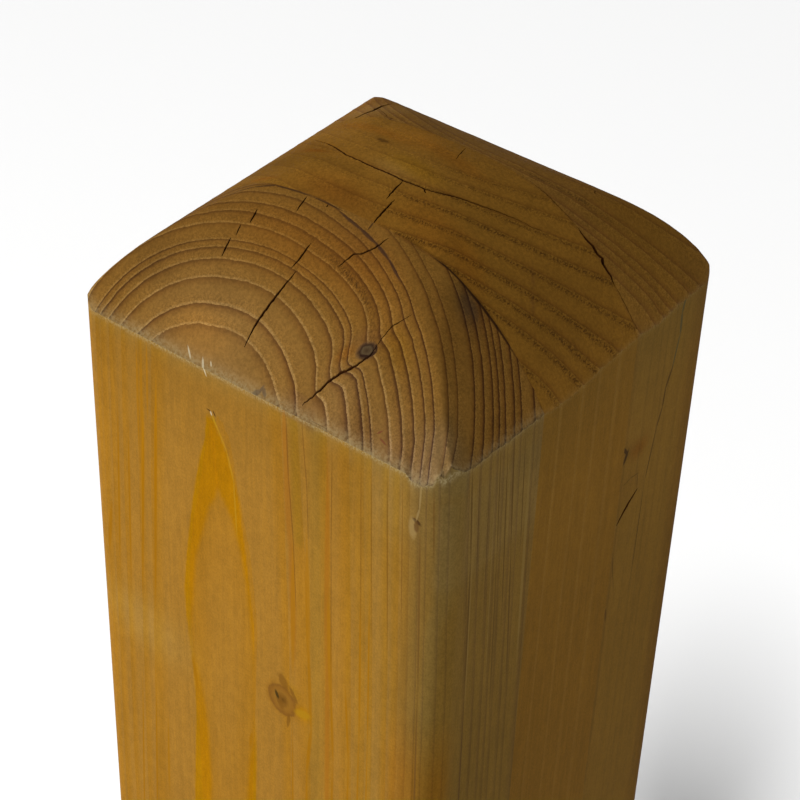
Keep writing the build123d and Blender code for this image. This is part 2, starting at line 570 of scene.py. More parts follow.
# The front and right faces, each with its half of the arris, and the arris that has greyed
side_from = 39.5
on_front = (fy < -side_from) & ~on_head
on_right = (fx > side_from) & ~on_head
turned = np.interp(fx, (20, 30, 35, 38.5), (0, 0.25, 0.45, 1))

# The pin knot on the head, and the larger knot of the front face
pin_u, pin_v = in_oval(fx, fy, 18.3, -35.4, 1.6, 1.05, 24)
face_u, face_v = in_oval(fx, -front_depth, 6.6, -75.6, 3.6, 4.0, 24)

# One ring is torn where it passes in front of the crown. The edge of the head is torn all
# along the front, its pale fibres partly a painted highlight of the eave, and the face cuts
# straight across the rings at its right end.
front_torn = hump(front_ring_number(fx, fy, front_depth), 7.45, 0.35) * hump(fx, 9, 9)
torn_edge_and_highlight = np.interp(fx, (-45, -30, 20, 40, 43, 45), (0.5, 1, 1, 1, 1, 0.5))
keep(front_board, torn=on_head * front_torn, quarter=np.clip((fx - 34) / 5, 0, 1),
     edge=edge_reach(fx, fy, fz, 1.6, 0.8) * torn_edge_and_highlight,
     knot_across=np.where(on_head, pin_u, face_u),
     knot_along=np.where(on_head, pin_v, face_v))

# Head of the front board: pale towards the front, stained grey-violet by the pin knot and by
# the bark pocket at the glue line
front_tint = np.ones((len(fx), 3))
spots(front_tint, fx, fy, on_head, [
    (-2, -42, 22, 9, 0, "worn", 0.55),
    (-18, -41, 16, 9, 0, "worn", 0.45),
    (36, -43, 7, 4, 0, "worn", 0.4),
    (24, -40, 5, 7, 0, "shade", 0.7),
    (30, -41, 14, 7, 0, "worn", 0.35),
    (-30, -30, 16, 12, 0, "brown", 0.12),
    (28.9, -18.9, 4.8, 2.4, -50, "violet", 0.65),
    (28.3, -19.2, 4.2, 2.4, -50, "grey", 0.7),
    (31.2, -18.6, 2.6, 1.3, -50, "brown", 0.3),
    (17.0, -34.2, 3.0, 1.8, 24, "violet", 0.5),
    (14.6, -36.9, 1.8, 1.0, 40, "rust", 0.7),
    (24, -33.5, 4.5, 2.2, -30, "orange", 0.5),
    (-4, -25, 16, 6, 0, "rust", 0.5),
    (12, -26, 10, 6, -30, "rust", 0.3),
    (-38, -22, 12, 12, 0, "brown", 0.4),
    (34, -38, 6, 9, 0, "shade", 0.5),
    (42, -42, 7, 6, 0, "grey", 0.55),
    (30, -25, 8, 6, 0, "brown", 0.2),
    (-15.8, -41.9, 7, 2.6, 0, "amber", 0.7),
    (-33.3, -36.2, 7, 5, 0, "shade", 0.9),
    (6, -21, 9, 3, -12, "violet", 0.2),
    (17.6, -41.8, 5, 4, 0, "worn", 0.5),
    (28.1, -43, 5, 3, 0, "worn", 0.3),
    (40.5, -42.6, 5, 4, 0, "worn", 1.0),
])
streaks(front_tint, fx, fy, on_head, [
    ([(-45, front_joint), (-27, front_joint)], 0.3, "brown", 0.3),
    ([(-27, front_joint), (10, front_joint)], 0.3, "brown", 0.4),
    ([(10, front_joint), (36, front_joint)], 0.5, "brown", 0.8),
    ([(36, front_joint), (45, front_joint)], 0.3, "brown", 0.6),
])

# Front face: the flame with its bright rims, the knot under it, and streaks down both sides
spots(front_tint, fx, -front_depth, on_front, [
    (-11.5, -55, 7, 22, 0, "orange", 0.2),
    (-30, -77, 14, 9, -14, "straw", 0.7),
    (-33, -77, 12, 6, -16, "worn", 0.5),
    (11.7, -76.2, 2.5, 2.0, 20, "yellow", 1.0),
    (34, -8, 7, 9, 0, "worn", 0.9),
    (9.5, -71.5, 2.6, 1.6, -40, "gold", 0.6),
])
streaks(front_tint, fx, -front_depth, on_front, [
    ([(9.4, -2), (10.6, -30)], 1.3, "olive", 0.8),
    ([(15.0, -2), (15.8, -125)], 2.2, "olive", 0.6),
    ([(22.8, -5), (23.2, -60)], 0.5, "gold", 0.3),
    ([(29, 0), (30, -125)], 6, "straw", 0.55),
])

# Each face is greyer towards the arris and the eave, and deeper in colour lower down
lay_stain(front_tint, turned * ~on_head, "grey", 1.0)
lay_stain(front_tint, np.interp(front_depth, (6, 30), (1, 0)) * on_front, "shade", 1.0)
lay_stain(front_tint, np.interp(front_depth, (1, 5), (1, 0)) * on_front, "straw", 1.0)
lay_stain(front_tint, np.interp(fx, (42, 45), (0, 1)) * ~on_head, "tawny", 0.3)
lay_stain(front_tint, np.interp(front_depth, (25, 80), (0, 0.6)) * on_right, "tawny", 1.0)
lay_stain(front_tint, np.interp(front_depth, (58, 76), (0, 1)) * np.interp(fx, (31, 38), (0, 1))
          * np.interp(fy, (-42, -38), (1, 0)), "glow", 1.0)

# The flame, where the face runs along one ring. Each row has a depth, then the two edges and
# the strength of the left yellow rim, and the same of the right one. The rims meet above
# 28 mm and fill the point of the flame.
flame_rims = np.array((
    (10.5, -12.3, -11.3, 1, -11.3, -10.2, 1), (13, -12.3, -11.3, 1, -11.3, -9.6, 1),
    (17, -12.7, -10.5, 1, -10.5, -7.6, 1), (22, -14.1, -10.2, 1, -10.2, -5.7, 1),
    (28, -15.2, -9.8, 1, -9.8, -4.3, 1), (31, -15.8, -10.3, 1, -7.9, -3.9, 1),
    (34, -16.3, -12.0, 1, -6.2, -3.6, 1), (42, -17.5, -14.0, 1, -4.0, -2.6, 1),
    (50, -18.5, -16.1, 1, -2.6, -1.8, 1), (60, -19.5, -16.9, 1, -1.7, -0.7, 0.9),
    (68, -19.2, -17.6, 0.9, -1.3, -0.7, 0.6), (76, -18.4, -17.5, 0.5, -1.2, -0.6, 0.35),
    (84, -17.7, -15.6, 0.7, -1.3, -0.7, 0.35), (92, -17.3, -14.5, 0.9, -1.5, -0.5, 0.8),
    (100, -17.6, -13.9, 1, -2.6, -0.5, 1), (115, -18.3, -13.3, 1, -3.5, -0.8, 1),
    (135, -19, -15, 1, -3.5, -1.5, 1), (180, -20, -18, 0.8, -3, -2, 0.8),
    (300, -15, -14, 0.6, -6, -5, 0.6), (972, -20, -18, 0.6, -4, -2, 0.6)))

# The outer edge of a rim is crisp and its inner edge fades. The tip and the fill stop short.
rim_edge = 0.3
rim_fade = 1.2
flame_top = 10.4
flame_fill = 29
for crisp_side in (0, 1):
    rim = flame_rims[:, 1 + 3 * crisp_side:4 + 3 * crisp_side].T
    edges = [np.interp(front_depth, flame_rims[:, 0], row) for row in rim]
    softness = (rim_edge, rim_fade) if crisp_side == 0 else (rim_fade, rim_edge)
    low = np.clip((fx - edges[0]) / softness[0] + 0.5, 0, 1)
    high = np.clip((edges[1] - fx) / softness[1] + 0.5, 0, 1)
    filled = np.where(front_depth < flame_fill, (fx > edges[0]) & (fx < edges[1]), 0)
    rim_reach = np.maximum(low * high, filled) * edges[2] * (front_depth > flame_top) * on_front
    lay_stain(front_tint, rim_reach, "yellow", 1.0)

# Right side: a grey stripe beside the glue line, and pale smudges where the eave has greyed,
# partly a painted highlight of the edge
streaks(front_tint, fy, -front_depth, on_right, [
    ([(-17.6, 0), (-17.4, -60), (-17.2, -125)], 1.1, "violet", 0.25),
    ([(-20, 0), (-20, -8)], 4, "shade", 0.8),
])
streaks(front_tint, fx, -front_depth, ~on_head & (fx > 40), [
    ([(43.6, -5), (43.4, -28), (42.2, -35), (41.8, -60), (41.4, -130)], 1.4, "straw", 0.9),
    ([(44.5, -1), (44.0, -22)], 3.0, "worn", 0.45),
])
# Pale along the front and right eaves: worn wood, and partly a painted highlight of the edge
lay_stain(front_tint, edge_reach(fx, fy, fz, 2.6, 0.6) * (fy < -39) * (fx < 41), "worn", 0.6)
lay_stain(front_tint, edge_reach(fx, fy, fz, 0.8, 1.6) * (fx > 36), "worn", 0.5)
lay_stain(front_tint, hump(fy, -44.5, 2.2) * hump(fx, 27, 10, 4) * on_head, "violet", 0.3)
spots(front_tint, fx, -front_depth, (fy < -43) & (front_depth < 6), [
    (9, -0.5, 3.0, 0.8, 0, "violet", 0.6),
    (13, -0.8, 1.6, 1.3, 0, "violet", 0.5),
])
keep_tint(front_board, front_tint)


def srgb(*levels):
    """A colour as the eye names it, on a scale of 0 to 255, turned into light."""
    parts = [level / 255 for level in levels]
    return tuple(p / 12.92 if p <= 0.04045 else ((p + 0.055) / 1.055)**2.4 for p in parts) + (1,)


class Finish:
    """A wood finish, built node by node."""

    def __init__(self, name, roughness=0.8, shine=0.02):
        self.material = bpy.data.materials.new(name)
        self.material.use_nodes = True
        self.tree = self.material.node_tree
        self.shader = self.tree.nodes["Principled BSDF"]
        self.shader.inputs["Roughness"].default_value = roughness
        self.shader.inputs["Specular IOR Level"].default_value = shine

    def node(self, kind, output=0, settings=(), **inputs):
        """Adds a node. An input is named, or numbered after an underline."""
        made = self.tree.nodes.new("ShaderNode" + kind)
        for key, value in dict(settings).items():
            setattr(made, key, value)
        for key, value in inputs.items():
            socket = int(key[1:]) if key[1:].isdigit() else key.replace("_", " ")
            self.feed(made.inputs[socket], value)
        return made.outputs[output]

    def feed(self, socket, value):
        """Gives an input its value, or links it to the node that makes the value."""
        if isinstance(value, bpy.types.NodeSocket):
            self.tree.links.new(value, socket)
        else:
            socket.default_value = value

    def attribute(self, name, output="Fac"):
        """Reads what is kept for the board's points."""
        return self.node("Attribute", output, {"attribute_name": name})

    def noise(self, scale, detail=3.0, roughness=0.55):
        """Cloudy unevenness from 0 to 1, so many times to the metre in each direction."""
        where = self.node("TexCoord", "Object")
        spread = self.node("Mapping", Vector=where, Scale=scale)
        return self.node("TexNoise", Vector=spread, Scale=1.0, Detail=detail,
                         Roughness=roughness)

    def math(self, operation, a, b=0.0, c=0.0):
        """One sum of up to three values."""
        return self.node("Math", 0, {"operation": operation}, _0=a, _1=b, _2=c)

    def spread(self, value, low, high, to_low=0.0, to_high=1.0):
        """Spreads a range of values smoothly over another."""
        return self.node("MapRange", 0, {"interpolation_type": "SMOOTHSTEP"}, Value=value,
                         _1=low, _2=high, _3=to_low, _4=to_high)

    def times(self, *values):
        """Multiplies values together."""
        total = values[0]
        for value in values[1:]:
            total = self.math("MULTIPLY", total, value)
        return total

    def blend(self, share, one, two, kind="MIX"):
        """Blends a share of the second colour into the first."""
        made = self.tree.nodes.new("ShaderNodeMix")
        made.data_type, made.blend_type = "RGBA", kind
        self.feed(made.inputs["Factor"], share)
        self.feed(made.inputs[6], one)
        self.feed(made.inputs[7], two)
        return made.outputs[2]

    def cloud_over(self, colour, cloud, low, high):
        """Darkens and lightens the colour by a cloudy unevenness."""
        return self.blend(1.0, colour, self.spread(cloud, 0.3, 0.7, low, high), "MULTIPLY")

    def draw_knot(self, colour, stops):
        """Draws a knot over the wood: colours by how far out, in half sizes, each with how far it
        covers the wood."""
        across, along = self.attribute("knot_across"), self.attribute("knot_along")
        squares = self.math("ADD", self.times(across, across), self.times(along, along))
        away = self.math("SUBTRACT", self.math("SQRT", squares), 0.18)
        away = self.math("MULTIPLY_ADD", self.noise((900, 900, 900), 2.0), 0.36, away)
        made = self.tree.nodes.new("ShaderNodeValToRGB")
        elements = made.color_ramp.elements
        while len(elements) < len(stops):
            elements.new(0.5)
        for element, (place, tone, cover) in zip(elements, stops):
            element.position = place / 2
            element.color = srgb(*tone)[:3] + (cover,)
        self.feed(made.inputs[0], self.math("MULTIPLY", away, 0.5))
        return self.blend(made.outputs[1], colour, made.outputs[0])

    def draw_marks(self, colour, face, marks):
        """Draws slender marks over the wood of one face. Each has a colour, how far it covers
        the wood, and its strokes: where they start and end, and the half width."""
        where = self.node("TexCoord", "Object")
        ragged = self.math("MULTIPLY_ADD", self.noise((1800, 1800, 1800), 2.0), 0.5, -0.25)
        for tone, cover, strokes in marks:
            reach = 0.0
            for *ends, half in strokes:
                start, end = np.array(ends, float).reshape(2, 2)
                middle, way = (start + end) / 2, end - start
                angle, long = math.atan2(way[1], way[0]), np.hypot(*way) / 2 + half
                place, turn, size = {
                    "head": ((middle[0], middle[1], 0), (0, 0, angle), (long, half, 1e6)),
                    "front": ((middle[0], 0, eave + middle[1]), (0, -angle, 0), (long, 1e6, half)),
                    "right": ((0, middle[0], eave + middle[1]), (angle, 0, 0), (1e6, long, half)),
                }[face]
                near = self.node("Mapping", 0, {"vector_type": "TEXTURE"}, Vector=where,
                                 Location=np.multiply(place, mm), Rotation=turn,
                                 Scale=np.multiply(size, mm))
                away = self.node("VectorMath", 1, {"operation": "LENGTH"}, _0=near)
                away = self.math("ADD", away, ragged)
                reach = self.math("MAXIMUM", reach, self.spread(away, 1.25, 0.6))
            colour = self.blend(self.times(reach, cover), colour, srgb(*tone))
        return colour

    def ring_places(self, wander):
        """Millimetres past the last ring line, and still to go to the next."""
        shaky = self.math("MULTIPLY_ADD", self.noise((700, 700, 60)), wander, -wander / 2)
        width = self.attribute("ring_width")
        number = self.math("ADD", self.attribute("ring"), self.math("DIVIDE", shaky, width))
        past = self.math("MULTIPLY", self.math("FRACT", number), width)
        return past, self.math("SUBTRACT", width, past)

    def hand_over(self, colour, strength, depth, height):
        """Gives the shader its colour and a shallow bump, and gives back the material."""
        self.feed(self.shader.inputs["Base Color"], colour)
        self.feed(self.shader.inputs["Normal"],
                  self.node("Bump", Strength=strength, Distance=depth, Height=height))
        return self.material


# The colour deep in a crack, dust with painted shade that darkens the crack by its depth, and
# of the torn fibres along the edge of the head, seen from above and from the side, which also
# paint a highlight of the eave
crack_dust_and_shade = (66, 34, 12)
head_fibres_and_highlight = (140, 121, 84)
side_fibres_and_highlight = (150, 134, 96)


def end_grain(name, early, late, line, pale, torn=(60, 38, 18), knot=(), marks=()):
    """Weathered end grain: early wood that browns towards a dark line, and a pale hard line
    past it, with torn pits in the soft wood."""
    finish = Finish(name)
    past, to_come = finish.ring_places(0.35)
    fuzz = finish.noise((1500, 1500, 1500), 4.0, 0.65)
    colour = finish.blend(finish.times(finish.spread(to_come, 1.4, 0.2), finish.attribute("late")),
                          srgb(*early), srgb(*late))
    dark = finish.times(finish.spread(to_come, 0.55, 0.1), finish.attribute("line"), 0.85)
    colour = finish.blend(dark, colour, srgb(*line))
    light = finish.times(finish.spread(past, 0.5, 0.15), finish.attribute("pale"), 0.75,
                         finish.spread(fuzz, 0.3, 0.55, 0.5, 1.0))
    colour = finish.blend(light, colour, srgb(*pale))
    grains = finish.spread(finish.noise((3200, 3200, 3200), 1.0), 0.36, 0.64, 0.86, 1.14)
    soft = finish.times(finish.spread(past, 2.6, 0.3), 0.85)
    colour = finish.blend(finish.math("ADD", soft, 0.15), colour,
                          finish.blend(1.0, colour, grains, "MULTIPLY"))
    colour = finish.cloud_over(colour, finish.noise((220, 220, 220), 3.0), 0.95, 1.05)
    colour = finish.cloud_over(colour, fuzz, 0.86, 1.14)
    colour = finish.blend(1.0, colour, finish.attribute("tint", "Color"), "MULTIPLY")
    rows = finish.attribute("torn")
    pits = finish.times(finish.spread(finish.noise((3600, 1700, 1700), 1.0), 0.47, 0.6), rows)
    colour = finish.blend(finish.math("MULTIPLY_ADD", pits, 0.6, finish.times(rows, 0.16)), colour,
                          srgb(*torn))
    # Pale torn fibres along the eave, which also paint a highlight where the edge catches the
    # light
    worn = finish.times(finish.attribute("edge"), finish.spread(fuzz, 0.38, 0.6, 0.2, 0.75))
    colour = finish.blend(worn, colour, srgb(*head_fibres_and_highlight))
    if knot:
        colour = finish.draw_knot(colour, knot)
    if marks:
        colour = finish.draw_marks(colour, "head", marks)
    # Painted shade with dust: the inside of a crack darkens towards the crack colour with depth
    inside = finish.spread(finish.attribute("gap"), 0.04, 0.35)
    colour = finish.blend(inside, colour, srgb(*crack_dust_and_shade))
    height = finish.math("SUBTRACT", fuzz, finish.times(pits, 0.8))
    return finish.hand_over(colour, 0.6, 0.0002, height)


def side_grain(name, early, flat_late, quarter_late, line, contrast=1.0, knot=(), face="front",
               marks=()):
    """Planed side grain: wide warm bands where the face runs along the rings, and narrow lines
    where it cuts across them."""
    finish = Finish(name, 0.75, 0.02)
    past, to_come = finish.ring_places(0.4)
    quarter = finish.attribute("quarter")
    late = finish.blend(quarter, srgb(*flat_late), srgb(*quarter_late))
    reach = finish.math("MULTIPLY_ADD", quarter, -1.3, 2.2)
    band = finish.math("SUBTRACT", 1.0, finish.math("DIVIDE", to_come, reach, 0.0))
    colour = finish.blend(finish.times(finish.spread(band, 0.0, 0.8), 0.55 * contrast),
                          srgb(*early), late)
    thin = finish.times(finish.spread(to_come, 0.45, 0.1), finish.attribute("line"),
                        finish.math("MULTIPLY_ADD", quarter, 0.06, 0.1), contrast)
    colour = finish.blend(thin, colour, srgb(*line))
    fibre = finish.noise((1500, 1500, 45), 3.0)
    cloud = finish.noise((160, 160, 40), 3.0)
    mottle = finish.noise((700, 700, 420), 2.0)
    speckle = finish.noise((2600, 2600, 1900), 2.0)
    colour = finish.blend(finish.times(finish.spread(fibre, 0.5, 0.7), 0.12), colour, late)
    for cloudy, low, high in ((fibre, 0.95, 1.05), (cloud, 0.96, 1.04), (mottle, 0.95, 1.05),
                              (speckle, 0.91, 1.09)):
        colour = finish.cloud_over(colour, cloudy, low, high)
    colour = finish.blend(1.0, colour, finish.attribute("tint", "Color"), "MULTIPLY")
    if knot:
        colour = finish.draw_knot(colour, knot)
    # Pale torn fibres along the eave, which also paint a highlight where the edge catches the
    # light
    worn = finish.times(finish.attribute("edge"), finish.spread(speckle, 0.4, 0.6, 0.1, 0.8))
    colour = finish.blend(worn, colour, srgb(*side_fibres_and_highlight))
    if marks:
        colour = finish.draw_marks(colour, face, marks)
    return finish.hand_over(colour, 0.25, 0.0001, fibre)


# Edges sharper than this, in degrees, stay sharp: the eave and the mouths of the cracks
sharp_angle = 24


def face_finishes(board, head_finish, side_finish, right_finish=None):
    """Gives the head and the inside of its cracks one finish, the planed faces another, and
    the right face its own where it has one."""
    mesh = board.data
    mesh.materials.clear()
    for finish in filter(None, (head_finish, side_finish, right_finish)):
        mesh.materials.append(finish)
    normals = np.empty(len(mesh.polygons) * 3)
    centres = np.empty(len(mesh.polygons) * 3)
    mesh.polygons.foreach_get("normal", normals)
    mesh.polygons.foreach_get("center", centres)
    normals = normals.reshape(-1, 3)
    outermost = inset(*centres.reshape(-1, 3)[:, :2].T / mm) < 0.05
    planed = outermost & (np.abs(normals[:, 2]) < 0.35)
    glued = np.abs(normals[:, 1]) > 0.999
    chosen = (planed | glued).astype(np.int32)
    if right_finish:
        chosen[planed & (normals[:, 0] > 0.7)] = 2
    mesh.polygons.foreach_set("material_index", chosen)
    mesh.polygons.foreach_set("use_smooth", np.ones(len(mesh.polygons), bool))
    mesh.set_sharp_from_angle(angle=math.radians(sharp_angle))


# The pin knot: how far out, its colour and how far that covers the wood
pin_knot = (
    (0.0, (58, 42, 26), 1), (0.3, (72, 56, 36), 1), (0.55, (82, 66, 44), 1),
    (0.8, (52, 36, 24), 1), (1.0, (64, 46, 32), 0.8), (1.35, (96, 72, 50), 0))
# The knot of the front face, in the same way
face_knot = (
    (0.0, (92, 60, 16), 1), (0.25, (106, 70, 20), 0.9), (0.5, (128, 88, 28), 0.8),
    (0.8, (122, 80, 24), 0.8), (0.95, (100, 62, 20), 0.7), (1.1, (138, 94, 26), 0.5),
    (1.4, (144, 100, 28), 0))

# Marks on the head: where each runs, in plan
front_head_marks = (
    # The dark rim of the pin knot
    ((44, 27, 18), 0.9, (
        (19.5, -34.2, 20.1, -34.9, 0.22), (20.1, -35.0, 19.4, -35.8, 0.25),
        (19.3, -35.9, 17.4, -36.3, 0.18))),
    # Dirt in the front glue line, right of the crown, and splinters at it
    ((40, 24, 12), 0.85, (
        (18.5, -16.6, 29.0, -16.5, 0.24), (24.0, -16.6, 37.5, -16.6, 0.4),
        (18.5, -15.2, 20.2, -16.4, 0.12))),
    # The bark pocket at the glue line
    ((60, 46, 34), 0.3, (
        (27.4, -18.4, 29.2, -20.2, 0.9), (29.2, -18.2, 30.6, -19.6, 0.8))),
    # Dirt in the glue line, left of the crown
    ((52, 34, 22), 0.75, (
        (-26.9, -20.3, -22.3, -18.0, 0.2), (-22.6, -18.0, -18.6, -16.7, 0.25),
        (-19.2, -16.7, -9.6, -16.7, 0.22), (-9.8, -16.7, -1.8, -16.9, 0.16),
        (4.6, -16.5, 4.7, -18.0, 0.2))),
    # A ring stained violet behind the crown of the front board
    ((60, 41, 30), 0.75, (
        (-2.2, -17.4, 3.4, -18.7, 0.3), (3.2, -18.6, 7.9, -19.9, 0.36),
        (7.7, -19.8, 12.2, -21.5, 0.36), (12.0, -21.4, 16.6, -24.0, 0.26))),
    # A grey smear at the front edge
    ((66, 60, 54), 0.55, (
        (-0.3, -44.9, 0.8, -44.6, 0.3), (0.7, -44.7, 1.3, -44.0, 0.25),
        (1.4, -44.2, 2.2, -44.6, 0.3))),
    # Red specks by the front edge
    ((104, 50, 36), 0.6, (
        (27.0, -43.0, 27.8, -42.6, 0.12), (27.8, -43.3, 29.4, -43.6, 0.1))),
    # Pale splinters at the front edge
    ((176, 162, 132), 0.9, (
        (-17.3, -43.9, -16.0, -44.7, 0.14), (-13.3, -44.3, -12.6, -45.0, 0.2),
        (-11.4, -44.2, -11.0, -44.5, 0.12))),
)

# Marks on the front face: across it, and down from the eave
front_face_marks = (
    # Broad soft bands of late wood
    ((146, 90, 18), 0.5, (
        (7.0, 0, 7.5, -14, 0.6), (7.4, -8, 8.5, -34, 0.8), (8.6, -26, 9.7, -62, 0.8),
        (17.5, -4, 17.7, -60, 0.6), (17.9, -40, 18.8, -120, 0.6))),
    # Bright bands of late wood
    ((150, 100, 8), 0.7, (
        (9.3, -33, 9.3, -66, 0.6), (12.6, -28, 13.4, -64, 0.6), (18.0, -40, 19.2, -70, 0.6),
        (-28.5, -2, -30.4, -50, 0.4), (-27.0, -1, -27.6, -20, 0.3),
        (-29.7, -2, -30.4, -30, 0.3), (-25.7, -102, -26.4, -127, 0.35))),
    # The two brightest lines, left of the flame
    ((158, 106, 6), 0.85, (
        (-25.0, -10, -26.8, -46, 0.42), (-28.7, -18, -30.3, -48, 0.36))),
    # Lines of late wood down the face, which sway with the grain
    ((146, 96, 3), 0.75, (
        (-35.6, -20, -37.6, -64.5, 0.3), (-33.0, -24, -34.6, -67, 0.3),
        (-28.9, -24, -31.4, -68, 0.35), (-25.2, -14, -28.0, -71.5, 0.42),
        (-39.0, -48, -40.6, -62, 0.5), (13.4, -58, 14.2, -82, 0.45),
        (14.3, -78, 13.1, -93, 0.5), (13.2, -90, 12.9, -150, 0.5), (19.2, -66, 20.0, -86, 0.35),
        (20.0, -82, 19.4, -150, 0.4), (22.7, -62, 23.9, -82, 0.3),
        (23.9, -78, 23.8, -150, 0.35), (25.8, -36, 26.5, -76, 0.28),
        (26.3, -70, 26.8, -150, 0.28), (27.9, -34, 28.6, -76, 0.2),
        (28.5, -70, 29.0, -150, 0.2), (9.3, -82, 9.7, -150, 0.3),
        (-32.8, -94, -35.0, -150, 0.25), (-28.9, -93, -30.9, -150, 0.3),
        (-1.7, -91, -2.3, -95, 0.45), (-17.8, -79, -16.6, -88, 0.5))),
    # Dark hairlines under the eave
    ((90, 56, 20), 0.48, (
        (7.4, 0.5, 8.2, -18, 0.16), (8.0, -14, 9.6, -34, 0.16), (9.2, -28, 10.2, -50, 0.12),
        (11.2, 0, 12.5, -16, 0.13), (12.3, -10, 13.1, -30, 0.1), (18.4, -4, 18.5, -30, 0.15),
        (18.5, -24, 19.1, -64, 0.13), (25.0, -1, 26.1, -45, 0.13), (27.3, 0, 28.6, -44, 0.11),
        (30.9, 0, 32.5, -44, 0.16), (34.4, 0, 35.6, -40, 0.12), (41.2, 0, 41.9, -18, 0.14))),
    # The dark line beside the arris
    ((92, 62, 26), 0.65, (
        (38.7, -10, 40.1, -52, 0.26), (40.0, -50, 41.2, -120, 0.24))),
    # Specks at the point of the flame, and the bruise in the chip
    ((58, 34, 14), 0.85, (
        (-11.9, -9.4, -11.0, -9.6, 0.17), (-10.4, -9.2, -9.9, -10.2, 0.17),
        (37.4, -9.6, 38.4, -10.0, 0.55))),
    # The pale tip of the flame
    ((164, 126, 24), 0.6, (
        (-10.8, -10.2, -9.5, -12.8, 0.3),)),
    # The resin beside the knot
    ((156, 114, 16), 0.9, (
        (10.9, -76.6, 12.9, -76.0, 1.2),)),
    # The light right edge of the flame
    ((170, 128, 28), 0.5, (
        (-9.7, -12.2, -7.0, -17.8, 0.25), (-7.3, -17.0, -5.4, -24.5, 0.25),
        (-5.6, -23.0, -4.9, -38, 0.22))),
    # Splinters
    ((186, 172, 140), 0.85, (
        (-11.0, -9.7, -10.8, -10.3, 0.2), (-12.7, 0.4, -11.9, -1.5, 0.17))),
    # The scratch from the eave down to the chip, and the chip
    ((146, 122, 76), 0.5, (
        (38.6, -0.5, 38.4, -7, 0.22), (38.4, -6.6, 37.8, -9.6, 0.22),
        (37.0, -10.2, 37.2, -13.4, 0.95))),
    # The heart of the chip
    ((92, 64, 30), 0.85, (
        (37.9, -10.4, 37.9, -11.8, 0.6),)),
    # Bark round the knot
    ((112, 74, 20), 0.75, (
        (6.4, -69.2, 7.3, -71.2, 1.2), (8.6, -70.8, 10.4, -74.0, 0.5),
        (5.4, -74.8, 6.4, -77.8, 0.8), (8.4, -79.0, 8.0, -82.2, 0.5))),
    # The crack in the knot
    ((52, 42, 14), 0.85, (
        (4.9, -74.2, 5.4, -75.6, 0.45),)),
)

# Marks on the right face of the front board: Y, and down from the eave
front_right_marks = (
    # Dark ring lines
    ((80, 56, 24), 0.7, (
        (-38.8, 2.4, -37.4, -20.4, 0.24), (-37.4, -19.8, -36.4, -54.8, 0.26),
        (-36.4, -54, -35.4, -110, 0.22), (-36.4, 1, -35.0, -27, 0.13),
        (-30.1, 2, -28.6, -27, 0.16), (-28.7, -25, -26.9, -70, 0.16),
        (-27.8, 1, -25.2, -44.6, 0.2), (-25.9, 2, -24.0, -27.8, 0.26),
        (-24.0, -26, -21.6, -64, 0.24), (-22.2, 0, -20.6, -30, 0.16),
        (-33.2, 2, -31.6, -40, 0.1))),
    # Pale wood beside them
    ((128, 102, 50), 0.5, (
        (-37.9, -2, -36.9, -20, 0.2), (-36.9, -18, -35.9, -60, 0.2),
        (-26.6, -6, -25.4, -27, 0.16), (-31.2, -2, -29.2, -60, 0.12),
        (-20.0, -4, -18.4, -60, 0.5))),
)

front_side_colours = ((147, 105, 37), (150, 102, 15), (130, 91, 35), (110, 70, 30))
face_finishes(
    front_board,
    end_grain("front_end_grain", (122, 86, 34), (98, 62, 22), (64, 38, 18), (156, 120, 62),
              knot=pin_knot, marks=front_head_marks),
    side_grain("front_side_grain", *front_side_colours, knot=face_knot, marks=front_face_marks),
    side_grain("front_right_grain", *front_side_colours, face="right", marks=front_right_marks))

# The middle board: the softwood core of the post, 31.6 mm thick, which carries the crown of
# the head and is glued on both sides. Its rings run the other way, about a pith that was sawn
# away behind it, and one ring has come apart in a long shake.
back_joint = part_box("middle_board")[1].y / mm
middle_grid = 0.3
middle_pith = (-3.0, 40.0)
middle_ring_radii = (0, 6, 12, 18, 24, 30, 36.0, 39.6, 44.0, 48.0, 52.8, 57.3, 61.2, 64.8, 70.1,
                     74.5, 79)
middle_late = (0.2,) * 6 + (0.3, 0.45, 0.6, 0.5, 0.55) + (0.6,) * 6
middle_line = (0.1,) * 6 + (0.25, 0.4, 0.5, 0.5, 0.5, 0.55) + (0.5,) * 5
middle_pale = (0.1,) * 8 + (0.2,) * 4 + (0.25, 0.3, 0.35, 0.35, 0.3)

# The tree was thicker lower down, so its rings lie further out by this share of the depth
ring_taper = 0.004


def round_rings(pith, radii, step, seed):
    """The rings of a board in which they are round: the ring that a place lies in, and how far
    the head is worn there."""
    def ring_number(x, y, depth):
        return ring_at(np.hypot(x - pith[0], y - pith[1]) - depth * ring_taper, radii)

    def relief(x, y):
        return worn_rings(x, y, ring_number(x, y, 0), radii, step, seed, 0.014)

    return ring_number, relief


middle_ring_number, middle_relief = round_rings(middle_pith, middle_ring_radii, 0.05, 4)

# Drying cracks of the middle board: the shake round one ring, then the radial ones
middle_cracks = [
    ([(-31, 8.3), (-25, 4), (-12.8, -2.8), (-9.9, -3.4), (-5.4, -4.1), (2.1, -4.4), (5.6, -3.8),
      (7.0, -3.7), (9.5, -2.7), (17.1, 1.4), (23.6, 5.6), (24.8, 5.9), (26.2, 7.4)], 0.6, 4),
    ([(6.7, -3.8), (7.6, -4.6)], 0.35, 2),
    ([(2.2, -4.5), (2.9, -10.5)], 0.4, 5),
    ([(4.3, -9.7), (4.5, -12.3), (4.7, -17.4)], 0.5, 5),
    ([(2.7, 14.9), (4.8, 8.7)], 0.2, 1.5),
]
middle_points, middle_faces = board_skin(front_joint, back_joint, middle_grid,
                                         ("left", "right"), middle_relief)
middle_board = make_board("middle_board", middle_points, middle_faces,
                          middle_cracks)
mx, my, mz, middle_depth, on_head = board_points(middle_board)
